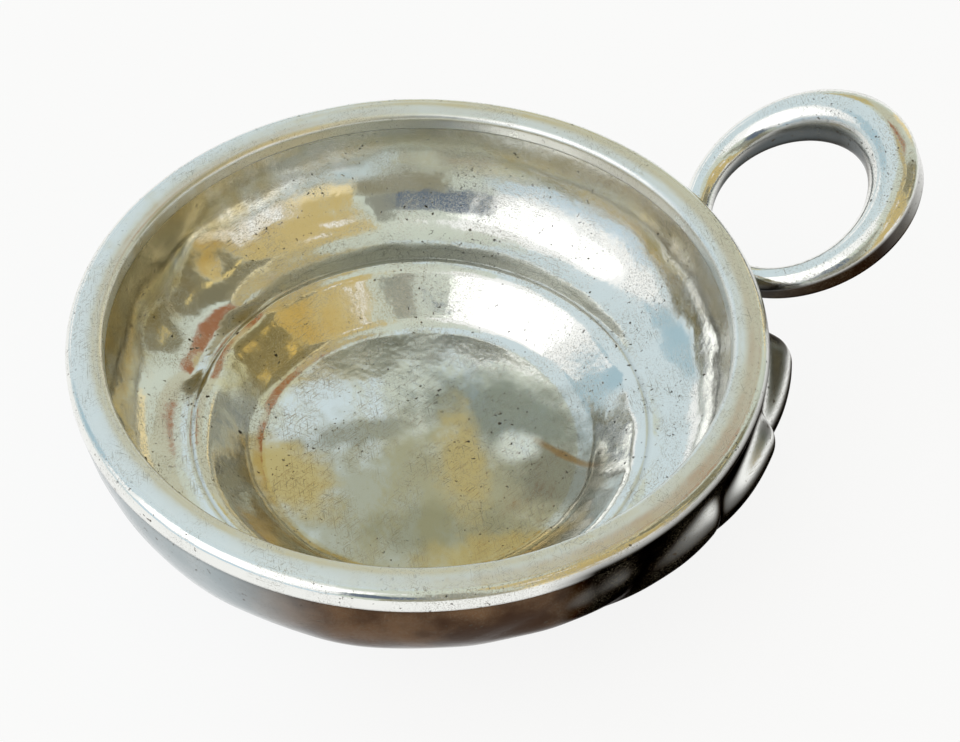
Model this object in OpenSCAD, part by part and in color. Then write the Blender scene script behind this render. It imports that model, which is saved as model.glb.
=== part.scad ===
// Tastevin: a shallow silver cup for tasting wine, with a ring for the finger.
// Millimetres. The origin is the centre of the foot's underside, the ring points along +X, and +Z is up.

/* [Rim band] */
// Diameter over the rim band
rim_d = 84; // [78:0.5:100]
// Width of the band, seen from above
band_w = 4.5; // [3.5:0.1:5.5]
// Height of the band
band_h = 2.4; // [2:0.1:3]
// Radius of the band's outer top edge
band_outer_r = 1.4; // [0.6:0.1:1.6]
// Radius of the band's inner top edge
band_inner_r = 0.8; // [0.4:0.1:1.2]
// How far the wall stands back from the band's outside
wall_inset = 0.2; // [0:0.05:0.5]

/* [Bowl] */
// Thickness of the silver sheet
sheet_t = 1.1; // [0.8:0.05:1.3]
// Depth of the wall's widest level below the rim's top
belly_drop = 3.5; // [3.3:0.1:6]
// Radius of the wall's curve, outside
belly_r = 19.3; // [17.5:0.1:22]
// Radius of the turn from the wall to the ledge, outside
turn_r = 10; // [6:0.1:13]
// Depth of the ledge below the rim's top, inside
ledge_drop = 18.4; // [16:0.1:19]
// Width of the level ledge between the wall and the sunk floor
ledge_w = 0.4; // [0.2:0.1:3]
// Depth of the floor below the ledge
well_depth = 5.5; // [5:0.1:8]
// Slope of the sunk floor's side, from level
well_slope = 42; // [38:1:60]
// Radius of the hollow between the floor and its side, inside
cove_r = 4; // [2.5:0.1:4.5]
// Radius of the shoulder between the ledge and the sunk floor's side, inside
brow_r = 4; // [2:0.1:4.5]

/* [Gadroons] */
// Number of lobes on the wall
lobe_count = 4; // [1:1:6]
// Angle from the handle to the first lobe's head
lobe_start = 27; // [25:0.5:40]
// Angle between lobes
lobe_step = 18.9; // [17:0.1:24]
// Width of a lobe
lobe_w = 7.5; // [6:0.1:8]
// How much thicker a lobe is at its head, as a factor
head_swell = 1.06; // [1.04:0.01:1.12]
// Height of the first lobe above the wall
first_relief = 4.1; // [2.5:0.1:4.3]
// Height of the last lobe above the wall
last_relief = 0.8; // [0.6:0.1:4.3]
// Depth of a head's centre below the rim's top
head_drop = 7.3; // [7.2:0.1:8.5]
// Lean of a lobe away from the handle, from upright
lobe_lean = 69; // [60:1:75]
// Radius of a lobe's own curve, tighter than the wall's, so that its tail sinks into the wall
lobe_bend = 19; // [15:0.5:20]
// Angle of that curve, from the head's centre to the tail's end
lobe_arc = 62; // [56:1:75]

/* [Ring handle] */
// Length of the ring's centre line, from the wall outwards
ring_l = 26.7; // [24:0.1:32]
// Width of the ring's centre line
ring_w = 25; // [22:0.1:30]
// Thickness of the bar at the wall
root_d = 3.8; // [3:0.1:4.6]
// Thickness of the bar at the far end
tip_d = 7.6; // [5:0.1:8.5]
// How late the bar swells towards the far end
swell_power = 1.7; // [1:0.1:2.5]
// Share of the bar's radius that is left where its inside is filed flat
inner_flat = 0.88; // [0.8:0.01:1]
// Slope of the ring, up and away from the cup
ring_tilt = 26; // [10:1:35]
// Depth of the ring's seat on the wall below the rim's top
ring_drop = 7.5; // [6.5:0.1:9]

/* [Hidden] */
$fn = 96;

silver = "#c9c8bd";
bright_silver = "#d6d6cc";
ring_silver = "#bfc3c2";

// Sections round the ring and points round its bar
ring_steps = 60;
bar_steps = 24;
// How far the turn stands out from a perfect blend, so that the two arcs cross
turn_ease = 0.08;
// Length that runs clear of whatever it cuts
beyond = 20;

// Heights, from the foot's underside
rim_top = ledge_drop + well_depth + sheet_t;
band_base = rim_top - band_h;
ledge_z = rim_top - ledge_drop;
belly_z = rim_top - belly_drop;

// The wall's outside: a large arc from the belly down, then a tighter one that turns into the ledge
wall_d = rim_d - 2 * wall_inset;
belly_x = wall_d / 2 - belly_r;
turn_z = ledge_z - sheet_t + turn_r;
turn_angle = asin((belly_z - turn_z) / (belly_r - turn_r));
turn_x = belly_x + (belly_r - turn_r) * cos(turn_angle) + turn_ease;

// The sunk floor's side, inwards from the ledge: a shoulder, a straight slope and a hollow
side_r = brow_r + cove_r;
side_run = side_r * sin(well_slope) + (well_depth - side_r * (1 - cos(well_slope))) / tan(well_slope);
brow_centre = [turn_x - ledge_w, ledge_z - brow_r];
cove_centre = [turn_x - ledge_w - side_run, sheet_t + cove_r];

// Outer radius of the wall at a height
function wall_radius(z) = belly_x + sqrt(pow(belly_r, 2) - pow(belly_z - z, 2));
// Slope of the wall's outward normal below level, at a height
function wall_slope(z) = asin((belly_z - z) / belly_r);

// The ring's centre, where the bar's centre line starts on the wall's surface
seat_z = rim_top - ring_drop;
ring_x = wall_radius(seat_z) + ring_l / 2 * cos(ring_tilt);
ring_z = seat_z + ring_l / 2 * sin(ring_tilt);

// Part of a disc between two angles less than 180 degrees apart
module sector(centre, radius, from, to) {
    reach = radius / cos((to - from) / 2) + 1;
    translate(centre)
        intersection() {
            circle(radius);
            polygon([[0, 0], reach * [cos(from), sin(from)], reach * [cos(to), sin(to)]]);
        }
}

// Half section of the space within the wall, pulled in by an inset, up to a height
module wall_section(inset, top) {
    floor_z = ledge_z - sheet_t + inset;
    edge = 2 * belly_r;
    difference() {
        union() {
            translate([0, belly_z])
                square([wall_d / 2 - inset, top - belly_z]);
            translate([0, floor_z])
                square([belly_x, belly_z - floor_z]);
            intersection() {
                translate([belly_x, belly_z])
                    circle(belly_r - inset);
                translate([belly_x, floor_z])
                    square([edge, belly_z - floor_z]);
            }
        }
        translate([turn_x, turn_z])
            difference() {
                polygon([[0, 0], edge * [cos(turn_angle), -sin(turn_angle)], [edge, -edge], [0, -edge]]);
                circle(turn_r - inset);
            }
    }
}

// Half section of the sunk floor, grown outwards by a thickness
module well_section(grow) {
    base = sheet_t - grow;
    top = ledge_z - grow;
    floor_r = cove_centre.x;
    lean = [sin(well_slope), -cos(well_slope)];
    translate([0, base])
        square([floor_r, top - base]);
    sector(cove_centre, cove_r + grow, -90, well_slope - 90);
    difference() {
        polygon([
            [floor_r / 2, top],
            [floor_r / 2, base + cove_r / 2],
            cove_centre + (cove_r + grow) * lean,
            brow_centre - (brow_r - grow) * lean,
            [brow_centre.x, top]
        ]);
        translate(brow_centre)
            circle(brow_r - grow);
    }
}

// The cup as a full block, as high as the band's seat
module outer_form() {
    rotate_extrude() {
        wall_section(0, band_base);
        well_section(sheet_t);
    }
}

// The hollow of the cup
module inner_form() {
    rotate_extrude() {
        wall_section(sheet_t, rim_top + beyond);
        well_section(0);
    }
}

// One lobe: a round head and a bent tail that leans along the wall and sinks into it
module lobe(relief) {
    head_z = rim_top - head_drop;
    translate([wall_radius(head_z), 0, head_z])
        rotate([0, wall_slope(head_z), 0])
            rotate([-lobe_lean, 0, 0])
                translate([relief - lobe_w / 2, 0, 0]) {
                    sphere(head_swell * lobe_w / 2);
                    translate([-lobe_bend, 0, 0])
                        rotate([90, 0, 0])
                            rotate_extrude(angle = -lobe_arc)
                                translate([lobe_bend, 0])
                                    circle(lobe_w / 2);
                }
}

module lobes() {
    fall = lobe_count > 1 ? (first_relief - last_relief) / (lobe_count - 1) : 0;
    for (i = [0 : lobe_count - 1])
        rotate(-lobe_start - i * lobe_step)
            lobe(first_relief - i * fall);
}

// Raised from one sheet, smooth on the inside
module bowl() {
    color(silver)
        difference() {
            union() {
                outer_form();
                lobes();
            }
            inner_form();
        }
}

// Half-round moulding on the edge of the sheet
module rim_band() {
    outer = rim_d / 2;
    inner = outer - band_w;
    color(bright_silver)
        rotate_extrude() {
            sector([outer - band_outer_r, rim_top - band_outer_r], band_outer_r, 0, 90);
            sector([inner + band_inner_r, rim_top - band_inner_r], band_inner_r, 90, 180);
            translate([inner + band_inner_r, rim_top - band_inner_r])
                square([band_w - band_inner_r - band_outer_r, band_inner_r]);
            translate([inner, band_base])
                square([band_w - band_outer_r, band_h - band_inner_r]);
            translate([outer - band_outer_r, band_base])
                square([band_outer_r, band_h - band_outer_r]);
        }
}

// Radius of the ring's bar at an angle from its far end
function bar_radius(t) =
    root_d / 2 + (tip_d - root_d) / 2 * pow((1 + cos(t)) / 2, swell_power);

// A point on the bar's surface, in the ring's own plane
function ring_point(t, a) =
    let (
        normal = [ring_w * cos(t), ring_l * sin(t)] / norm([ring_w * cos(t), ring_l * sin(t)]),
        out = bar_radius(t) * max(cos(a), -inner_flat),
        up = bar_radius(t) * sin(a)
    )
    [ring_l / 2 * cos(t) + out * normal.x, ring_w / 2 * sin(t) + out * normal.y, up];

// A closed ring of tapered bar, filed where it meets the wall
module ring_handle() {
    points = [
        for (i = [0 : ring_steps - 1], j = [0 : bar_steps - 1])
            ring_point(i * 360 / ring_steps, j * 360 / bar_steps)
    ];
    corner = function (i, j) (i % ring_steps) * bar_steps + j % bar_steps;
    faces = [
        for (i = [0 : ring_steps - 1], j = [0 : bar_steps - 1], half = [0, 1])
            half == 0
                ? [corner(i, j), corner(i, j + 1), corner(i + 1, j)]
                : [corner(i + 1, j), corner(i, j + 1), corner(i + 1, j + 1)]
    ];
    color(ring_silver)
        difference() {
            translate([ring_x, 0, ring_z])
                rotate([0, -ring_tilt, 0])
                    polyhedron(points, faces);
            outer_form();
        }
}

bowl();
rim_band();
ring_handle();
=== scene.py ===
"""Tastevin: a shallow, hand-raised silver cup for tasting wine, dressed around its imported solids.

Sizes are in millimetres in the cup's own frame: the origin is the centre of the foot's underside, +X points
to the finger ring and +Z is up. They turn to metres where a mesh is made.
"""

import math

import bpy
import numpy as np
from mathutils import Matrix, Vector, noise


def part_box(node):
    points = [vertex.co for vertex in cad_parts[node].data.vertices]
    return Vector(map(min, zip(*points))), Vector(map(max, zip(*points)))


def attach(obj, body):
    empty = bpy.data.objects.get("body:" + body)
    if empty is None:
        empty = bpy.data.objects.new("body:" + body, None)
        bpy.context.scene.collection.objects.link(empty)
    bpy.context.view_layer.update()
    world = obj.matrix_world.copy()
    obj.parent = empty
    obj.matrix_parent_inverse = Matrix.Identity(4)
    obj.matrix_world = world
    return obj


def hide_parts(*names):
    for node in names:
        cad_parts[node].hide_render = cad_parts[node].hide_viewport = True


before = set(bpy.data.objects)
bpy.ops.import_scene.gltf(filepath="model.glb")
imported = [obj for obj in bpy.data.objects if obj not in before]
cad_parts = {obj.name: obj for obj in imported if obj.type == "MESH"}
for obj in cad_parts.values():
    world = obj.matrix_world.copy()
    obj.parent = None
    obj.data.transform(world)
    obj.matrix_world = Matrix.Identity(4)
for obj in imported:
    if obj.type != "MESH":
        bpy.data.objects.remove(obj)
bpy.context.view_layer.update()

MM = 0.001

# The rim band and the wall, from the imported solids
band_low, band_high = (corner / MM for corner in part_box("rim_band"))
RIM_R = band_high.x
RIM_TOP = band_high.z
BAND_BASE = band_low.z
WALL_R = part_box("bowl")[1].x / MM
BAND_W = 4.5
BAND_OUTER_R = 1.4
BAND_INNER_R = 0.8
BAND_CROWN = 0.15
# The width over which the rim's satin top turns to its polished edge
EDGE_POLISH = 0.6

# The raised sheet
SHEET = 1.1
BELLY_Z = RIM_TOP - 3.5
BELLY_R = 19.3
TURN_R = 10
LEDGE_Z = RIM_TOP - 18.4
LEDGE_W = 0.4
WELL_DEPTH = 5.5
WELL_SLOPE = 42
COVE_R = 4
BROW_R = 4
BELLY_X = WALL_R - BELLY_R
TURN_Z = LEDGE_Z - SHEET + TURN_R
TURN_ANGLE = math.degrees(math.asin((BELLY_Z - TURN_Z) / (BELLY_R - TURN_R)))
TURN_X = BELLY_X + (BELLY_R - TURN_R) * math.cos(math.radians(TURN_ANGLE))

SLOPE_SIN = math.sin(math.radians(WELL_SLOPE))
SLOPE_COS = math.cos(math.radians(WELL_SLOPE))
SIDE_R = BROW_R + COVE_R
SIDE_RUN = SIDE_R * SLOPE_SIN + (WELL_DEPTH - SIDE_R * (1 - SLOPE_COS)) * SLOPE_COS / SLOPE_SIN
BROW_X = TURN_X - LEDGE_W
FLOOR_R = BROW_X - SIDE_RUN

# A line scored round the shoulder, with painted shade along it
SCORE_R = 28.9
SCORE_W = 0.28
SCORE_DEPTH = 0.06
SCORE_SHADE = 0.22

# The gadroons, counted clockwise from the ring
LOBE_COUNT = 4
LOBE_START = 27
LOBE_STEP = 18.9
LOBE_W = 7.5
FIRST_RELIEF = 4.1
LAST_RELIEF = 0.8
HEAD_Z = RIM_TOP - 7.3
LOBE_LEAN = 69
LOBE_BEND = 19
LOBE_ARC = 62
VALLEY_R = 1.6
# They stand on the wall from this far above the ledge's underside
WALL_FOOT = 0.1
# The search for their surface: how far above the wall it starts, its steps, and the share of the way that
# each step goes
SEARCH_START = 1.6 * LOBE_W
SEARCH_STEPS = 60
SEARCH_PACE = 0.9
# A gadroon's crown is lighter where it stands this far out and faces up this much, with a painted highlight
# near one upward slant; painted shade lies on the wall round about, in degrees, and below the band
CROWN_RISE = 0.4
CROWN_SLANT = 0.1
CROWN_EASE = 0.3
CROWN_LIGHT = 0.2
HIGHLIGHT_SLANT = 0.52
HIGHLIGHT_WIDTH = 0.1
LOBE_MARGIN = 9
LOBE_REACH = 4
UNDERCUT = 0.9
UNDERCUT_SHADE = 0.3
# How far below the rim's top the painted shade by the gadroons begins, as a share of the rim's edge radius
RIM_SHADE = 0.2

# The finger ring
RING_L = 26.7
RING_W = 25
ROOT_D = 3.8
TIP_D = 7.6
SWELL_POWER = 1.7
INNER_FLAT = 0.88
RING_TILT = 26
RING_DROP = 7.5
ROOT_SEAT = 0.3
# The ring has painted shade on its near side, below an upward slant
RING_DARK = 0.6
RING_SHADE = 0.75
RING_EASE = 0.4
RING_NEAR = 1.5

# A painted dark reflection lies where a face turns up less than this
FACES_UP = 0.3
# Level direction from the axis to the side where the painted reflection on the outside is brown, and to the
# drinker
BROWN_SIDE = (0.25, -0.97, 0)
FRONT = (-0.45, -0.89, 0)
# How dull the brown is where it is seen edge on
BROWN_DULL = 0.42

# How much of the pits the rim loses, how dark scratches are, and how much softer satin and the painted shade
# are than bare silver
RIM_PITS_LOST = 0.75
SCRATCH_GRIME = 0.55
SATIN_HAZE = 0.2
SHADE_HAZE = 0.2
# The inside of the wall is part satin, from this height up
WALL_SATIN = 0.6
SATIN_Z = 11

# How far the hammer left the sheet off its true form, and over what width
DENT_DEPTH = 0.22
DENT_WIDTH = 13
RIPPLE_DEPTH = 0.08
RIPPLE_WIDTH = 4.5
RIPPLE_PLACE = (7, 3, 5)
# The height over which the unevenness fades to the band's seat and to the foot
DENT_FADE = 3

# Knocks in the sheet: place, half width and depth, outwards or, where negative, inwards
KNOCKS = (
    (-17, 35, 14.5, 3.2, 0.4),
    (-15, 34, 10.4, 2.6, -0.35),
    (-23, 19, 6.8, 2.8, 0.4),
    (-24, 26, 8.8, 3, -0.35),
    (-14, 28, 6.8, 2.6, 0.3),
    (-36, 14, 14, 3.5, 0.35),
    (38, 12, 15, 4, 0.25),
    (34, -4, 9, 3.5, -0.25),
    (9, 36, 12, 3.5, 0.2),
    (-10.5, 24.5, 5, 2.2, 0.3),
    (-16.5, 21, 5, 2.2, 0.3),
    (26.8, -4.7, 6.1, 4, 0.42),
    (24.8, -11.1, 6.1, 4, 0.42),
    (20.8, -17.5, 6.1, 4, 0.42),
)
# Deep pits inside the cup: their radius and places
PIT_R = 0.6
DEEP_PITS = (
    (10.8, -1.2, 1.1),
    (-20.8, 10.5, 2.7),
    (-11.8, 20.8, 3.3),
    (20.2, 27.5, 7.8),
    (22.6, 24.6, 7.4),
)

# Mesh spacing along the profile and round the cup, fine where the gadroons stand and some way past them
ROW_SPACING = 0.9
INSIDE_SPACING = 0.6
FINE_ROW_SPACING = 0.3
EDGE_SPACING = 0.2
INNER_EDGE_SPACING = 0.15
STEP_ANGLE = 1.4
FINE_STEP_ANGLE = 0.48
FINE_BEFORE = 14
FINE_AFTER = 34
RIM_STEPS = 360
RIM_CROWN_POINTS = 9
RING_STEPS = 180
BAR_STEPS = 56


def linear(code):
    """An sRGB hex colour as the linear colour that a shader takes."""
    parts = [int(code[i : i + 2], 16) / 255 for i in (1, 3, 5)]
    return [p / 12.92 if p <= 0.04045 else ((p + 0.055) / 1.055) ** 2.4 for p in parts] + [1]


def add(tree, kind, inputs=None, **settings):
    """A node with its settings; an input is a value, a hex colour, a node, or a node and output."""
    node = tree.nodes.new(kind)
    for name, value in settings.items():
        setattr(node, name, value)
    for name, value in (inputs or {}).items():
        if isinstance(value, bpy.types.Node):
            value = (value, 0)
        if isinstance(value, tuple) and isinstance(value[0], bpy.types.Node):
            tree.links.new(value[0].outputs[value[1]], node.inputs[name])
        else:
            node.inputs[name].default_value = linear(value) if isinstance(value, str) else value
    return node


def new_material(name):
    """An empty material and its node tree."""
    material = bpy.data.materials.new(name)
    material.use_nodes = True
    material.node_tree.nodes.clear()
    return material, material.node_tree


def mesh_object(name, points, faces, material):
    """A smooth-shaded piece from points in millimetres."""
    mesh = bpy.data.meshes.new(name)
    mesh.from_pydata((np.asarray(points) * MM).tolist(), [], faces)
    mesh.materials.append(material)
    mesh.shade_smooth()
    mesh.validate()
    piece = bpy.data.objects.new(name, mesh)
    bpy.context.scene.collection.objects.link(piece)
    return piece


def mark(piece, **marks):
    """Named values at each point, for the material to read."""
    for name, values in marks.items():
        spots = piece.data.attributes.new(name, "FLOAT", "POINT")
        spots.data.foreach_set("value", np.broadcast_to(values, len(spots.data)).astype(np.float32))


def point_normals(piece):
    """The direction that the piece faces at each point."""
    normals = np.empty(len(piece.data.vertices) * 3, np.float32)
    piece.data.vertices.foreach_get("normal", normals)
    return normals.reshape(-1, 3)


def below_level(piece):
    """One where the piece faces level or down, falling to nothing as it turns up."""
    share = np.clip(1 - point_normals(piece)[:, 2] / FACES_UP, 0, 1)
    return share**2 * (3 - 2 * share)


def dress(piece, node):
    """The piece stands for one solid and rides with it."""
    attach(piece, "root")
    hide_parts(node)


def line(start, end, spacing):
    """Points of a straight stretch of a profile."""
    steps = max(1, round(math.dist(start, end) / spacing))
    return np.linspace(start, end, steps + 1)


def arc(centre, radius, start, end, spacing):
    """Points of a round stretch of a profile, between two angles in degrees."""
    steps = max(3, round(abs(math.radians(end - start)) * radius / spacing))
    angle = np.radians(np.linspace(start, end, steps + 1))
    return np.stack([centre[0] + radius * np.cos(angle), centre[1] + radius * np.sin(angle)], 1)


def joined(*stretches):
    """Stretches of a profile in one run, without the doubled points where they meet."""
    run = [stretches[0]] + [s[1:] for s in stretches[1:]]
    return np.concatenate(run)


def cup_profile(inset, wall_spacing):
    """Radius and height from the sheet's top edge down to the axis, on the outside or, inset, the inside."""
    wall = WALL_R - inset
    ledge = LEDGE_Z - SHEET + inset
    brow = BROW_R - SHEET + inset
    cove = COVE_R + SHEET - inset
    side_top = (BROW_X - brow * SLOPE_SIN, LEDGE_Z - BROW_R + brow * SLOPE_COS)
    side_foot = (FLOOR_R + cove * SLOPE_SIN, SHEET + COVE_R - cove * SLOPE_COS)
    return joined(
        line((wall, BAND_BASE), (wall, BELLY_Z), wall_spacing),
        arc((BELLY_X, BELLY_Z), BELLY_R - inset, 0, -TURN_ANGLE, wall_spacing),
        arc((TURN_X, TURN_Z), TURN_R - inset, -TURN_ANGLE, -90, wall_spacing),
        line((TURN_X, ledge), (BROW_X, ledge), FINE_ROW_SPACING),
        arc((BROW_X, LEDGE_Z - BROW_R), brow, 90, 90 + WELL_SLOPE, FINE_ROW_SPACING / 2),
        line(side_top, side_foot, ROW_SPACING / 2),
        arc((FLOOR_R, SHEET + COVE_R), cove, WELL_SLOPE - 90, -90, FINE_ROW_SPACING),
        line((FLOOR_R, inset), (0, inset), ROW_SPACING),
    )


def profile_normals(profile):
    """Unit normals to the right of the way down, so away from the axis on the wall."""
    along = np.gradient(profile, axis=0)
    along /= np.linalg.norm(along, axis=1, keepdims=True)
    return np.stack([-along[:, 1], along[:, 0]], 1)


def revolve_points(radius, height, angles):
    """Points of every row at every angle, in rows."""
    ring = np.stack([np.cos(angles), np.sin(angles)], 1)
    flat = radius[:, None, None] * ring[None]
    tall = np.broadcast_to(height[:, None, None], flat.shape[:2] + (1,))
    return np.concatenate([flat, tall], 2)


def grid_faces(rows, steps):
    """Quads of a closed grid of rows, each as many steps round."""
    faces = []
    for i in range(rows - 1):
        for j in range(steps):
            k = (j + 1) % steps
            faces.append((i * steps + j, i * steps + k, (i + 1) * steps + k, (i + 1) * steps + j))
    return faces


def lobe_frames():
    """Each gadroon's place: the centre of its bend, with its outward, sideways and upward directions."""
    drop = BELLY_Z - HEAD_Z
    slope = math.asin(drop / BELLY_R)
    head = Vector((BELLY_X + math.sqrt(BELLY_R**2 - drop**2), 0, HEAD_Z))
    set_in = Matrix.Rotation(slope, 3, "Y") @ Matrix.Rotation(-math.radians(LOBE_LEAN), 3, "X")
    for i in range(LOBE_COUNT):
        relief = FIRST_RELIEF + (LAST_RELIEF - FIRST_RELIEF) * i / (LOBE_COUNT - 1)
        turned = Matrix.Rotation(-math.radians(LOBE_START + i * LOBE_STEP), 3, "Z")
        centre = turned @ (head + set_in @ Vector((relief - LOBE_W / 2 - LOBE_BEND, 0, 0)))
        yield np.array(centre), np.array(turned @ set_in)


def smooth_least(a, b, blend):
    """The lesser of two distances, rounded where they are within the blend of each other."""
    near = np.clip(1 - np.abs(a - b) / blend, 0, None)
    return np.minimum(a, b) - near**2 * blend / 4


def lobe_height(points, normals):
    """How far the gadroons lift each point of the wall along its normal."""
    places = list(lobe_frames())
    height = np.full(len(points), SEARCH_START)
    for _ in range(SEARCH_STEPS):
        spots = points + height[:, None] * normals
        nearest = height.copy()
        for centre, axes in places:
            local = (spots - centre) @ axes
            bend = np.clip(np.arctan2(local[:, 2], local[:, 0]), -math.radians(LOBE_ARC), 0)
            spine = np.stack([np.cos(bend), np.zeros_like(bend), np.sin(bend)], 1) * LOBE_BEND
            away = np.linalg.norm(local - spine, axis=1) - LOBE_W / 2
            nearest = smooth_least(nearest, away, VALLEY_R)
        height -= SEARCH_PACE * nearest
    return np.clip(height, 0, None)


def unevenness(points):
    """What the hammer left: shallow dents and a finer ripple, in millimetres along the normal."""
    dents = [noise.noise(Vector(p / DENT_WIDTH)) * DENT_DEPTH for p in points]
    apart = Vector(RIPPLE_PLACE)
    ripple = [noise.noise(Vector(p / RIPPLE_WIDTH) + apart) * RIPPLE_DEPTH for p in points]
    uneven = np.array(dents) + np.array(ripple)
    for *place, half, depth in KNOCKS:
        uneven += depth * np.exp(-((np.linalg.norm(points - place, axis=1) / half) ** 2))
    return uneven


def lobe_nearness(points):
    """One on the stretch of wall that the gadroons stand on, falling to nothing in the margin beside it."""
    bearing = np.degrees(np.arctan2(points[:, 1], points[:, 0]))
    last = -LOBE_START - (LOBE_COUNT - 1) * LOBE_STEP - LOBE_REACH
    beside = np.maximum(bearing + LOBE_START - LOBE_MARGIN, last - bearing)
    return np.clip(1 - beside / LOBE_MARGIN, 0, 1)


def cup_angles():
    """Angles round the cup, fine across the gadroons."""
    first = -LOBE_START + FINE_BEFORE
    last = -LOBE_START - (LOBE_COUNT - 1) * LOBE_STEP - FINE_AFTER
    fine = np.arange(last, first, FINE_STEP_ANGLE)
    plain = np.linspace(fine[-1], last + 360, round((last + 360 - fine[-1]) / STEP_ANGLE) + 1)[1:-1]
    return np.radians(np.concatenate([fine, plain]))


def make_bowl(material):
    """One raised sheet: an outside with gadroons and an inside with a scored line, joined at the top."""
    angles = cup_angles()
    steps = len(angles)
    outside = cup_profile(0, FINE_ROW_SPACING)[:-1]
    inside = cup_profile(SHEET, INSIDE_SPACING)[:-1]
    shells, marks = [], []
    for profile, is_outside in ((outside, True), (inside, False)):
        lean = profile_normals(profile)
        points = revolve_points(profile[:, 0], profile[:, 1], angles).reshape(-1, 3)
        normals = revolve_points(lean[:, 0], lean[:, 1], angles).reshape(-1, 3)
        height = points[:, 2]
        lift = np.clip((BAND_BASE - height) / DENT_FADE, 0, 1) * unevenness(points)
        grime, satin, lobes, beside = np.zeros((4, len(points)))
        if is_outside:
            lift *= np.clip(height / DENT_FADE, 0, 1)
            wall = height > LEDGE_Z - SHEET + WALL_FOOT
            lobes[wall] = lobe_height(points[wall], normals[wall])
            beside[wall] = lobe_nearness(points[wall])
            lift += lobes
            # Painted shade just under the band
            grime += np.clip(1 - (BAND_BASE - height) / UNDERCUT, 0, 1) * UNDERCUT_SHADE
        else:
            # The scored line, with painted shade along it
            score = np.exp(-(((np.repeat(profile[:, 0], steps) - SCORE_R) / SCORE_W) ** 2))
            lift += SCORE_DEPTH * score
            grime += SCORE_SHADE * score
            satin += WALL_SATIN * np.clip((height - SATIN_Z) / (BAND_BASE - SATIN_Z), 0, 1)
        shells.append((points + lift[:, None] * normals).reshape(-1, steps, 3))
        values = np.stack([grime, satin, lobes, beside, np.full(len(points), is_outside)])
        marks.append(values.reshape(5, -1, steps))
    rows = np.concatenate([shells[0][::-1], shells[1]])
    marks = np.concatenate([marks[0][:, ::-1], marks[1]], 1).reshape(5, -1)
    grime, satin, lobes, beside, outside = np.concatenate([marks, np.zeros((5, 2))], 1)
    faces = grid_faces(len(rows), steps)
    points = rows.reshape(-1, 3)
    foot, floor = len(points), len(points) + 1
    points = np.concatenate([points, [[0, 0, 0], [0, 0, SHEET]]])
    last = (len(rows) - 1) * steps
    for j in range(steps):
        k = (j + 1) % steps
        faces.append((foot, k, j))
        faces.append((floor, last + j, last + k))
    piece = mesh_object("bowl_raised", points, faces, material)
    # A gadroon's crown is spared the painted shade and has a painted highlight on its upper side, and the
    # wall beside it is black with painted shade
    up = point_normals(piece)[:, 2]
    crown = np.clip(lobes / CROWN_RISE, 0, 1) * np.clip((up - CROWN_SLANT) / CROWN_EASE, 0, 1)
    streak = np.exp(-(((up - HIGHLIGHT_SLANT) / HIGHLIGHT_WIDTH) ** 2))
    painted_highlight = crown * (CROWN_LIGHT + (1 - CROWN_LIGHT) * streak)
    # The outside, where it faces level or down, carries a painted dark reflection, except under the painted
    # highlight
    aged = outside * below_level(piece) * (1 - painted_highlight)
    mark(piece, grime=np.maximum(grime, beside * (1 - painted_highlight)), aged=aged, satin=satin)
    dress(piece, "bowl")


def make_rim_band(material):
    """A half-round moulding with a low crown, a little uneven from filing."""
    inner = RIM_R - BAND_W
    across = np.linspace(RIM_R - BAND_OUTER_R, inner + BAND_INNER_R, RIM_CROWN_POINTS)
    crown = RIM_TOP - BAND_CROWN * np.linspace(-1, 1, RIM_CROWN_POINTS) ** 2
    shoulder = RIM_TOP - BAND_CROWN
    profile = joined(
        line((inner, BAND_BASE), (RIM_R, BAND_BASE), ROW_SPACING),
        line((RIM_R, BAND_BASE), (RIM_R, shoulder - BAND_OUTER_R), FINE_ROW_SPACING),
        arc((RIM_R - BAND_OUTER_R, shoulder - BAND_OUTER_R), BAND_OUTER_R, 0, 90, EDGE_SPACING),
        np.stack([across, crown], 1),
        arc((inner + BAND_INNER_R, shoulder - BAND_INNER_R), BAND_INNER_R, 90, 180, INNER_EDGE_SPACING),
        line((inner, shoulder - BAND_INNER_R), (inner, BAND_BASE), FINE_ROW_SPACING),
    )[:-1]
    angles = np.radians(np.arange(RIM_STEPS) * 360 / RIM_STEPS)
    points = revolve_points(profile[:, 0], profile[:, 1], angles).reshape(-1, 3)
    free = np.clip((points[:, 2] - BAND_BASE) / (RIM_TOP - BAND_BASE), 0, 1)
    waver = free * unevenness(points)
    points[:, :2] *= 1 + waver[:, None] / RIM_R / 2
    points[:, 2] -= np.abs(waver) / 2
    rows = points.reshape(len(profile), len(angles), 3)
    rows = np.concatenate([rows, rows[:1]])
    faces = grid_faces(len(rows), len(angles))
    count = len(profile) * len(angles)
    faces = [tuple(v % count for v in f) for f in faces]
    # Painted shade on the band's outer edge below its top, near the gadroons
    outer = np.clip(np.hypot(points[:, 0], points[:, 1]) - RIM_R + BAND_OUTER_R, 0, 1)
    low = np.clip((RIM_TOP - points[:, 2]) / BAND_OUTER_R - RIM_SHADE, 0, 1)
    grime = outer * low * lobe_nearness(points)
    piece = mesh_object("rim_band_filed", points, faces, material)
    mark(piece, grime=grime, aged=0, satin=1 - np.clip(outer / EDGE_POLISH, 0, 1))
    dress(piece, "rim_band")


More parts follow.
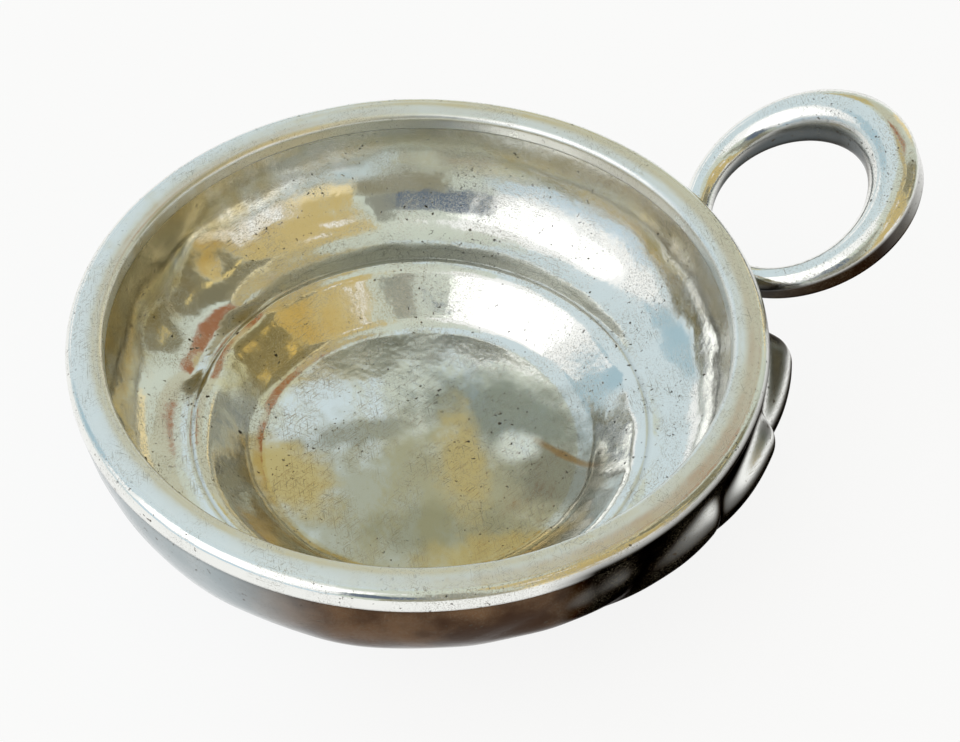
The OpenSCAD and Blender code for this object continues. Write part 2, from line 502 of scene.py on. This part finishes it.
def ring_tree(material):
    """A bar that follows an ellipse and swells towards its far end, its inner side filed flat."""
    tree = bpy.data.node_groups.new("finger_ring", "GeometryNodeTree")
    sizes = {
        "Length": RING_L,
        "Width": RING_W,
        "Root diameter": ROOT_D,
        "Tip diameter": TIP_D,
        "Swell power": SWELL_POWER,
        "Inner flat": INNER_FLAT,
    }
    tree.interface.new_socket("Geometry", in_out="OUTPUT", socket_type="NodeSocketGeometry")
    sockets = {
        name: tree.interface.new_socket(name, in_out="INPUT", socket_type="NodeSocketFloat").identifier
        for name in sizes
    }
    given = add(tree, "NodeGroupInput")
    path = add(tree, "GeometryNodeCurvePrimitiveCircle", {"Resolution": RING_STEPS, "Radius": 0.5 * MM})
    stretch = add(tree, "ShaderNodeCombineXYZ", {"X": (given, "Length"), "Y": (given, "Width"), "Z": 1})
    ellipse = add(tree, "GeometryNodeTransform", {"Geometry": (path, "Curve"), "Scale": (stretch, "Vector")})
    upright = add(tree, "GeometryNodeSetCurveNormal", {"Curve": (ellipse, "Geometry")}, mode="Z_UP")
    place = add(tree, "GeometryNodeSplineParameter")
    turn = add(tree, "ShaderNodeMath", {0: (place, "Factor"), 1: math.tau}, operation="MULTIPLY")
    cosine = add(tree, "ShaderNodeMath", {0: (turn, "Value")}, operation="COSINE")
    share = add(tree, "ShaderNodeMapRange", {"Value": (cosine, "Value"), "From Min": -1, "From Max": 1})
    swell = add(tree, "ShaderNodeMath", {0: (share, "Result"), 1: (given, "Swell power")}, operation="POWER")
    bar = add(
        tree,
        "ShaderNodeMapRange",
        {"Value": (swell, "Value"), "To Min": (given, "Root diameter"), "To Max": (given, "Tip diameter")},
    )
    radius = add(tree, "ShaderNodeMath", {0: (bar, "Result"), 1: 0.5}, operation="MULTIPLY")
    section = add(tree, "GeometryNodeCurvePrimitiveCircle", {"Resolution": BAR_STEPS, "Radius": MM})
    spot = add(tree, "GeometryNodeInputPosition")
    parts = add(tree, "ShaderNodeSeparateXYZ", {"Vector": (spot, "Position")})
    flat = add(tree, "ShaderNodeMath", {0: (given, "Inner flat"), 1: MM}, operation="MULTIPLY")
    filed = add(tree, "ShaderNodeMath", {0: (parts, "X"), 1: (flat, "Value")}, operation="MINIMUM")
    moved = add(tree, "ShaderNodeCombineXYZ", {"X": (filed, "Value"), "Y": (parts, "Y")})
    section_filed = add(
        tree, "GeometryNodeSetPosition", {"Geometry": (section, "Curve"), "Position": (moved, "Vector")}
    )
    swept = add(
        tree,
        "GeometryNodeCurveToMesh",
        {
            "Curve": (upright, "Curve"),
            "Profile Curve": (section_filed, "Geometry"),
            "Scale": (radius, "Value"),
        },
    )
    real = add(tree, "GeometryNodeRealizeInstances", {"Geometry": (swept, "Mesh")})
    coated = add(tree, "GeometryNodeSetMaterial", {"Geometry": (real, "Geometry"), "Material": material})
    add(tree, "NodeGroupOutput", {"Geometry": (coated, "Geometry")})
    return tree, {sockets[name]: value for name, value in sizes.items()}


def make_finger_ring(material):
    """The forged ring, tilted up and away from the wall that it is soldered to."""
    tree, values = ring_tree(material)
    carrier = bpy.data.objects.new("ring_path", bpy.data.meshes.new("ring_path"))
    bpy.context.scene.collection.objects.link(carrier)
    modifier = carrier.modifiers.new("finger_ring", "NODES")
    modifier.node_group = tree
    for identifier, value in values.items():
        modifier[identifier] = value
    mesh = bpy.data.meshes.new_from_object(carrier.evaluated_get(bpy.context.evaluated_depsgraph_get()))
    bpy.data.objects.remove(carrier)
    points = np.empty(len(mesh.vertices) * 3, np.float32)
    mesh.vertices.foreach_get("co", points)
    points = points.reshape(-1, 3).astype(float) / MM
    seat_z = RIM_TOP - RING_DROP
    wall = BELLY_X + math.sqrt(BELLY_R**2 - (BELLY_Z - seat_z) ** 2)
    tilt = math.radians(RING_TILT)
    middle = np.array([wall + RING_L / 2 * math.cos(tilt), 0, seat_z + RING_L / 2 * math.sin(tilt)])
    points = points @ np.array(Matrix.Rotation(-tilt, 3, "Y")).T + middle
    # The root stops just under the wall's skin, where it is soldered
    reach = np.hypot(points[:, 0], points[:, 1])
    drop = np.clip(np.abs(BELLY_Z - points[:, 2]), 0, BELLY_R)
    skin = BELLY_X + np.sqrt(BELLY_R**2 - drop**2) - ROOT_SEAT
    points[:, :2] *= np.maximum(reach, skin)[:, None] / reach[:, None]
    faces = [tuple(f.vertices) for f in mesh.polygons]
    piece = mesh_object("finger_ring_forged", points, faces, material)
    # Painted shade on the ring's near side where it faces low, and a painted dark reflection where it faces
    # level or down
    normals = point_normals(piece)
    near = np.clip(normals @ np.array(FRONT) * RING_NEAR, 0, 1)
    low = np.clip((RING_DARK - normals[:, 2]) / RING_EASE, 0, 1)
    mark(piece, grime=near * low * RING_SHADE, aged=below_level(piece), satin=0)
    dress(piece, "ring_handle")


# Noise in the silver's surface: width of its features in millimetres, and detail
FIELDS = {
    "blotch": (7, 4),
    "haze": (5, 4),
    "patch": (9, 3),
    "grain": (0.9, 3),
    "hammer": (2.6, 2),
    "speck": (0.6, 2),
    "ragged": (3, 3),
}
# The middle of what a noise gives
NOISE_MIDDLE = 0.5
# Scratches: length and width in millimetres, dip and turn in degrees; real ones are finer, and these are as
# wide as they need to be to show
SCRATCHES = ((1.7, 0.1, 0, 20), (2.4, 0.1, 0, 74), (1.6, 0.1, 0, 131), (3.5, 0.11, 50, 60))
# Painted reflections and a painted highlight inside the cup, as soft patches: middle and half sizes in
# millimetres, turn in degrees, and colour
PAINTED_REFLECTIONS = {
    "tan_veil": ((-3, -11, 1.1), (25, 14, 4), -27, "#c6bfa6"),
    "grey_streak": ((-6, 5, 1.1), (8, 2, 2), -12, "#bab7a7"),
    "grey_front": ((-3, -14, 1.1), (9, 4, 3), -24, "#b2ab90"),
    "grey_veil": ((12, -1, 1.1), (12, 6, 4), -50, "#a6aaa3"),
    "grey_corner": ((14, -13, 1.5), (7, 5, 3), -45, "#a3a092"),
    "yellow_left": ((-17.5, 2, 1.3), (4.5, 7, 4), 20, "#dbc184"),
    "yellow_middle": ((3.5, -5, 1.1), (9, 3, 3), 70, "#dac591"),
    "yellow_front": ((2, -20.5, 1.8), (11, 3, 3), -14, "#d3bd86"),
    "brown_streak": ((16, -10, 1.1), (5, 0.6, 2), -60, "#a58a66"),
    "highlight_spot": ((10.7, -5.7, 1.1), (2.8, 2.4, 2), 0, "#f8f9f6"),
    "yellow_side": ((-11.5, 21.5, 4), (9, 5, 5), 25, "#f0e2b8"),
    "yellow_wall": ((-24, 30, 16.5), (22, 11, 6), 45, "#dccb9c"),
}
REFLECTION_EDGE = 0.5
REFLECTION_WANDER = 1.3
# Where a streak of noise becomes a scratch, and the share of a deep pit that is at its full depth
SCRATCH_EDGE = (0.63, 0.72)
PIT_CORE = 0.7
# How far out the painted reflection on the outside begins to turn brown, and is brown
BROWN_FROM = 12
BROWN_FULL = 27
# Roughness of the bare silver, where it is brightest and where it is most worn, and the noise at those places
SHEEN = (0.07, 0.15)
SHEEN_EDGE = (0.3, 0.75)
# Height of the surface's relief, in hundredths of a millimetre
RELIEF = {"hammer": 9, "grain": 1.5, "scratches": -1.4, "pits": -1.8}
RELIEF_STRENGTH = 0.6


def make_silver():
    """Old silver, raised by hand: a bright mirror gone soft, under fine scratches and pits, with painted
    reflections and painted shade.
    """
    material, tree = new_material("old_silver")
    where = (add(tree, "ShaderNodeTexCoord"), "Object")
    aged, grime, satin = (
        (add(tree, "ShaderNodeAttribute", attribute_name=name), "Fac") for name in ("aged", "grime", "satin")
    )
    field = {}
    for name, (width, detail) in FIELDS.items():
        given = {"Vector": where, "Scale": 1 / (width * MM), "Detail": detail}
        field[name] = (add(tree, "ShaderNodeTexNoise", given), "Fac")
    front = add(tree, "ShaderNodeVectorMath", {0: where, 1: BROWN_SIDE}, operation="DOT_PRODUCT")
    masks = {}
    for name, source, low, high in (
        ("blotchy", field["blotch"], 0.35, 0.7),
        ("pitted", field["patch"], 0.4, 0.6),
        ("speckled", field["speck"], 0.66, 0.72),
        ("scratched", field["blotch"], 0.35, 0.6),
        ("front", (front, "Value"), BROWN_FROM * MM, BROWN_FULL * MM),
    ):
        given = {"Value": source, "From Min": low, "From Max": high}
        masks[name] = add(tree, "ShaderNodeMapRange", given, interpolation_type="SMOOTHSTEP")

    # Fine scratches lie in patches
    scratches = 0
    for length, width, dip, turn in SCRATCHES:
        given = {
            "Vector": where,
            "Rotation": (0, math.radians(dip), math.radians(turn)),
            "Scale": (length * MM, width * MM, width * MM),
        }
        along = add(tree, "ShaderNodeMapping", given, vector_type="TEXTURE")
        streak = add(tree, "ShaderNodeTexNoise", {"Vector": along, "Scale": 1, "Detail": 1})
        given = {"Value": (streak, "Fac"), "From Min": SCRATCH_EDGE[0], "From Max": SCRATCH_EDGE[1]}
        scratch = add(tree, "ShaderNodeMapRange", given, interpolation_type="SMOOTHSTEP")
        scratches = add(tree, "ShaderNodeMath", {0: scratch, 1: scratches}, operation="MAXIMUM")
    scratches = add(tree, "ShaderNodeMath", {0: scratches, 1: masks["scratched"]}, operation="MULTIPLY")

    # Pits of uneven shape lie in patches, fewer on the rim, and a few are deep
    pits = add(tree, "ShaderNodeMath", {0: masks["speckled"], 1: masks["pitted"]}, operation="MULTIPLY")
    fewer = add(tree, "ShaderNodeMath", {0: satin, 1: -RIM_PITS_LOST, 2: 1}, operation="MULTIPLY_ADD")
    pits = add(tree, "ShaderNodeMath", {0: pits, 1: fewer}, operation="MULTIPLY")
    for deep in DEEP_PITS:
        given = {0: where, 1: [k * MM for k in deep]}
        away = add(tree, "ShaderNodeVectorMath", given, operation="DISTANCE")
        given = {0: field["speck"], 1: PIT_R * MM, 2: (away, "Value")}
        ragged = add(tree, "ShaderNodeMath", given, operation="MULTIPLY_ADD")
        given = {"Value": ragged, "From Min": PIT_R * MM, "From Max": PIT_CORE * PIT_R * MM}
        deep_pit = add(tree, "ShaderNodeMapRange", given, interpolation_type="SMOOTHSTEP")
        pits = add(tree, "ShaderNodeMath", {0: deep_pit, 1: pits}, operation="MAXIMUM")

    # The painted reflection on the outside is grey, and brown on the drinker's right
    grey_reflection = add(tree, "ShaderNodeMix", {0: masks["blotchy"], 6: "#a3adb0", 7: "#b4bcbe"}, data_type="RGBA")
    brown_reflection = add(tree, "ShaderNodeMix", {0: masks["blotchy"], 6: "#3e2b1e", 7: "#6e533b"}, data_type="RGBA")
    reflection_tint = add(tree, "ShaderNodeMix", {0: masks["front"], 6: (grey_reflection, 2), 7: (brown_reflection, 2)}, data_type="RGBA")
    scored = add(tree, "ShaderNodeMath", {0: scratches, 1: SCRATCH_GRIME}, operation="MULTIPLY")

    layers = []
    for middle, half, turn, shade in PAINTED_REFLECTIONS.values():
        given = {
            "Vector": where,
            "Location": [k * MM for k in middle],
            "Rotation": (0, 0, math.radians(turn)),
            "Scale": [k * MM for k in half],
        }
        within = add(tree, "ShaderNodeMapping", given, vector_type="TEXTURE")
        reach = add(tree, "ShaderNodeVectorMath", {0: within}, operation="LENGTH")
        off = add(tree, "ShaderNodeMath", {0: field["ragged"], 1: NOISE_MIDDLE}, operation="SUBTRACT")
        given = {0: off, 1: REFLECTION_WANDER, 2: (reach, "Value")}
        reach = add(tree, "ShaderNodeMath", given, operation="MULTIPLY_ADD")
        given = {"Value": reach, "From Min": 1 + REFLECTION_EDGE, "From Max": 1 - REFLECTION_EDGE}
        layers.append((add(tree, "ShaderNodeMapRange", given, interpolation_type="SMOOTHSTEP"), shade))
    # Layers over the silver: painted reflections inside, the painted reflection on the outside, painted
    # shade, dark scratches and pits
    layers += [(aged, (reflection_tint, 2)), (grime, "#15100c"), (scored, "#7c7666"), (pits, "#4a4238")]
    colour = "#f4f5f1"
    for share, shade in layers:
        colour = (add(tree, "ShaderNodeMix", {0: share, 6: colour, 7: shade}, data_type="RGBA"), 2)

    given = {
        "Value": field["haze"],
        "From Min": SHEEN_EDGE[0],
        "From Max": SHEEN_EDGE[1],
        "To Min": SHEEN[0],
        "To Max": SHEEN[1],
    }
    haze = add(tree, "ShaderNodeMapRange", given)
    haze = add(tree, "ShaderNodeMath", {0: satin, 1: SATIN_HAZE, 2: haze}, operation="MULTIPLY_ADD")
    haze = add(tree, "ShaderNodeMath", {0: grime, 1: SHADE_HAZE, 2: haze}, operation="MULTIPLY_ADD")
    sources = {**field, "scratches": scratches, "pits": pits}
    height = 0
    for name, rise in RELIEF.items():
        height = add(tree, "ShaderNodeMath", {0: sources[name], 1: rise, 2: height}, operation="MULTIPLY_ADD")
    bump = add(tree, "ShaderNodeBump", {"Height": height, "Distance": 0.01 * MM, "Strength": RELIEF_STRENGTH})
    # The painted shade and the painted brown reflection stay dark where they are seen edge on
    brown_share = add(tree, "ShaderNodeMath", {0: aged, 1: masks["front"]}, operation="MULTIPLY")
    brown_share = add(tree, "ShaderNodeMath", {0: brown_share, 1: BROWN_DULL}, operation="MULTIPLY")
    dull = add(tree, "ShaderNodeMath", {0: grime, 1: brown_share}, operation="MAXIMUM")
    edge = add(tree, "ShaderNodeMix", {0: dull, 6: "#ffffff", 7: "#4a3c30"}, data_type="RGBA")
    given = {
        "Base Color": colour,
        "Metallic": 1,
        "Roughness": haze,
        "Specular Tint": (edge, 2),
        "Normal": bump,
    }
    shader = add(tree, "ShaderNodeBsdfPrincipled", given)
    add(tree, "ShaderNodeOutputMaterial", {"Surface": shader})
    return material


# The photograph's view: how high and how far, and how far the ring is turned from the picture's right
VIEW_HEIGHT = 46.79
VIEW_ROLL = 1.02
VIEW_DISTANCE = 218.7
VIEW_SHIFT = (-7.308, 6.972)
RING_TURN = 26.65
VIEW_LENS = 68.54
SENSOR = 36
NEAREST = 10


def make_camera():
    """The photograph's view of the cup."""
    height, roll = math.radians(VIEW_HEIGHT), math.radians(VIEW_ROLL)
    turned = Matrix.Rotation(-math.radians(RING_TURN), 3, "Z")
    across = turned @ Vector((1, 0, 0))
    ahead = turned @ Vector((0, math.cos(height), -math.sin(height)))
    above = across.cross(ahead)
    right = across * math.cos(roll) + above * math.sin(roll)
    up = above * math.cos(roll) - across * math.sin(roll)
    place = Vector((0, 0, RIM_TOP)) - ahead * VIEW_DISTANCE - right * VIEW_SHIFT[0] - up * VIEW_SHIFT[1]
    camera = bpy.data.objects.new("camera", bpy.data.cameras.new("camera"))
    camera.data.sensor_width = SENSOR
    camera.data.sensor_fit = "HORIZONTAL"
    camera.data.lens = VIEW_LENS
    camera.data.clip_start = NEAREST * MM
    turn = Matrix((right, up, -ahead)).transposed().to_4x4()
    camera.matrix_world = Matrix.Translation(place * MM) @ turn
    bpy.context.scene.collection.objects.link(camera)
    bpy.context.scene.camera = camera


# Share of the table that shows as plain white, the rest being lit paint that takes the shadow
FLOOR_WHITE = 0.88
# The table, round, and the radius of its edge's sweep upwards, which hides where it ends
TABLE_R = 2500
SWEEP_R = 600
SWEEP_ANGLE = 62
TABLE_STEP_ANGLE = 5
SWEEP_SPACING = 75


def make_floor():
    """A table painted matt white, which shows only the cup's soft shadow."""
    material, tree = new_material("white_table")
    paint = add(tree, "ShaderNodeBsdfDiffuse", {"Color": "#f8f8f8"})
    glow = add(tree, "ShaderNodeEmission", {"Color": "#ffffff", "Strength": 1})
    path = add(tree, "ShaderNodeLightPath")
    seen = 0
    for ray in ("Is Camera Ray", "Is Glossy Ray", "Is Transmission Ray"):
        seen = add(tree, "ShaderNodeMath", {0: (path, ray), 1: seen}, operation="MAXIMUM")
    share = add(tree, "ShaderNodeMath", {0: seen, 1: FLOOR_WHITE}, operation="MULTIPLY")
    mixed = add(tree, "ShaderNodeMixShader", {0: share, 1: paint, 2: glow})
    add(tree, "ShaderNodeOutputMaterial", {"Surface": mixed})
    angles = np.radians(np.arange(0, 360, TABLE_STEP_ANGLE))
    sweep = arc((TABLE_R, SWEEP_R), SWEEP_R, -90, SWEEP_ANGLE - 90, SWEEP_SPACING)
    points = revolve_points(sweep[:, 0], sweep[:, 1], angles).reshape(-1, 3)
    faces = [tuple(range(len(angles)))] + [f[::-1] for f in grid_faces(len(sweep), len(angles))]
    floor = mesh_object("table", points, faces, material)


def make_light(name, place, size, power, colour):
    """A soft box that faces the cup, in millimetres and watts."""
    lamp = bpy.data.lights.new(name, "AREA")
    lamp.shape = "RECTANGLE"
    lamp.size, lamp.size_y = size[0] * MM, size[1] * MM
    lamp.energy = power
    lamp.color = linear(colour)[:3]
    holder = bpy.data.objects.new(name, lamp)
    holder.location = Vector(place) * MM
    aim = Vector((0, 0, RIM_TOP / 2)) * MM - holder.location
    holder.rotation_euler = aim.to_track_quat("-Z", "Y").to_euler()
    holder.visible_camera = False
    bpy.context.scene.collection.objects.link(holder)


# What stands round the cup, as soft-edged panels: bearing from the picture's right, anticlockwise, height,
# half its width and half its height, all in degrees, and its colour
PANELS = {
    "pale_wall": (140, 42, 46, 36, "#d2e0e6"),
    "blue_wall": (160, 30, 12, 12, "#a9c3cf"),
    "window": (-150, 46, 40, 30, "#ffffff"),
    "window_sill": (-142, 9, 32, 9, "#c3d8e6"),
    "lit_shelf": (132, 19, 11, 5, "#ffffff"),
    "warm_cornice": (30, 67, 55, 7, "#b9a878"),
    "dark_doorway": (10, 38, 18, 24, "#7d7860"),
    "brass_lamp": (-3, 37, 5, 3, "#f0d890"),
    "brass_rail": (13, 29, 6, 2, "#e9d490"),
    "brass_line": (10, 63, 26, 1.5, "#f2e6bd"),
    "red_curtain": (62, 53, 21, 6, "#9a6a4c"),
    "grey_screen": (72, 32, 14, 16, "#c3c3ae"),
    "tan_screen": (52, 12, 10, 12, "#f0dca8"),
    "gold_screen": (90, 28, 10, 9, "#bfb07a"),
    "tan_panel": (-34, 40, 25, 38, "#c8b37a"),
    "cream_lamp": (-52, 9, 8, 9, "#f2dfae"),
    "white_lamp": (-30, 15, 11, 9, "#ffffff"),
    "round_bulb": (-30, 60, 4, 3, "#ffffff"),
    "side_bulb": (-50, 50, 2.5, 5, "#ffffff"),
    "front_bulb": (-104, 68, 5, 4, "#ffffff"),
    "blue_screen": (-97, 34, 13, 13, "#606c7c"),
    "grey_post": (-77, 45, 8, 20, "#8f9084"),
    "olive_counter": (-80, 12, 19, 13, "#8f8b76"),
}
PANEL_EDGE = 2
# How far the panels' outlines wander, in degrees, and how finely
PANEL_WANDER = 14
PANEL_GRAIN = 5
PANEL_DETAIL = 3


def make_surroundings():
    """A plain pale room, darker and warmer on the ring's side, that the silver mirrors."""
    world = bpy.data.worlds.new("room")
    bpy.context.scene.world = world
    world.use_nodes = True
    tree = world.node_tree
    tree.nodes.clear()
    way = add(tree, "ShaderNodeTexCoord")
    parts = add(tree, "ShaderNodeSeparateXYZ", {"Vector": (way, "Generated")})
    bearing = add(tree, "ShaderNodeMath", {0: (parts, "Y"), 1: (parts, "X")}, operation="ARCTAN2")
    bearing = add(tree, "ShaderNodeMath", {0: (bearing, "Value")}, operation="DEGREES")
    rise = add(tree, "ShaderNodeMath", {0: (parts, "Z")}, operation="ARCSINE")
    rise = add(tree, "ShaderNodeMath", {0: (rise, "Value")}, operation="DEGREES")
    given = {"Vector": (way, "Generated"), "Scale": PANEL_GRAIN, "Detail": PANEL_DETAIL}
    uneven = add(tree, "ShaderNodeTexNoise", given)
    wander = add(tree, "ShaderNodeSeparateColor", {"Color": (uneven, "Color")})
    wandered = []
    for source, share in ((bearing, "Red"), (rise, "Green")):
        off = add(tree, "ShaderNodeMath", {0: (wander, share), 1: NOISE_MIDDLE}, operation="SUBTRACT")
        given = {0: (off, "Value"), 1: PANEL_WANDER, 2: (source, "Value")}
        wandered.append(add(tree, "ShaderNodeMath", given, operation="MULTIPLY_ADD"))
    bearing, rise = wandered
    colour = "#ccd3c6"
    for name, (side, height, half_width, half_height, shade) in PANELS.items():
        masks = []
        for source, middle, half in ((bearing, side - RING_TURN, half_width), (rise, height, half_height)):
            off = add(tree, "ShaderNodeMath", {0: (source, "Value"), 1: middle}, operation="SUBTRACT")
            off = add(tree, "ShaderNodeMath", {0: (off, "Value"), 1: 180}, operation="PINGPONG")
            given = {"Value": (off, "Value"), "From Min": half + PANEL_EDGE, "From Max": half - PANEL_EDGE}
            masks.append(add(tree, "ShaderNodeMapRange", given, interpolation_type="SMOOTHSTEP"))
        given = {0: (masks[0], "Result"), 1: (masks[1], "Result")}
        mask = add(tree, "ShaderNodeMath", given, operation="MULTIPLY")
        given = {0: (mask, "Value"), 6: colour, 7: shade}
        colour = (add(tree, "ShaderNodeMix", given, data_type="RGBA", label=name), 2)
    room = add(tree, "ShaderNodeBackground", {"Color": colour, "Strength": 1})
    add(tree, "ShaderNodeOutputWorld", {"Surface": (room, "Background")})


def from_bearing(side, height, distance):
    """A place at a bearing from the picture's right and a height in degrees, at a distance from the cup."""
    side, height = math.radians(side - RING_TURN), math.radians(height)
    level = distance * math.cos(height)
    return (level * math.cos(side), level * math.sin(side), distance * math.sin(height))


# The lamp: bearing from the picture's right, height and distance, then its size and its watts
LAMP_PLACE = (-146, 46, 600)
LAMP_SIZE = (520, 430)
LAMP_POWER = 0.35

silver = make_silver()
make_bowl(silver)
make_rim_band(silver)
make_finger_ring(silver)
make_camera()
make_floor()
make_surroundings()
make_light("left_window", from_bearing(*LAMP_PLACE), LAMP_SIZE, LAMP_POWER, "#ffffff")
bpy.context.scene.view_settings.view_transform = "Standard"
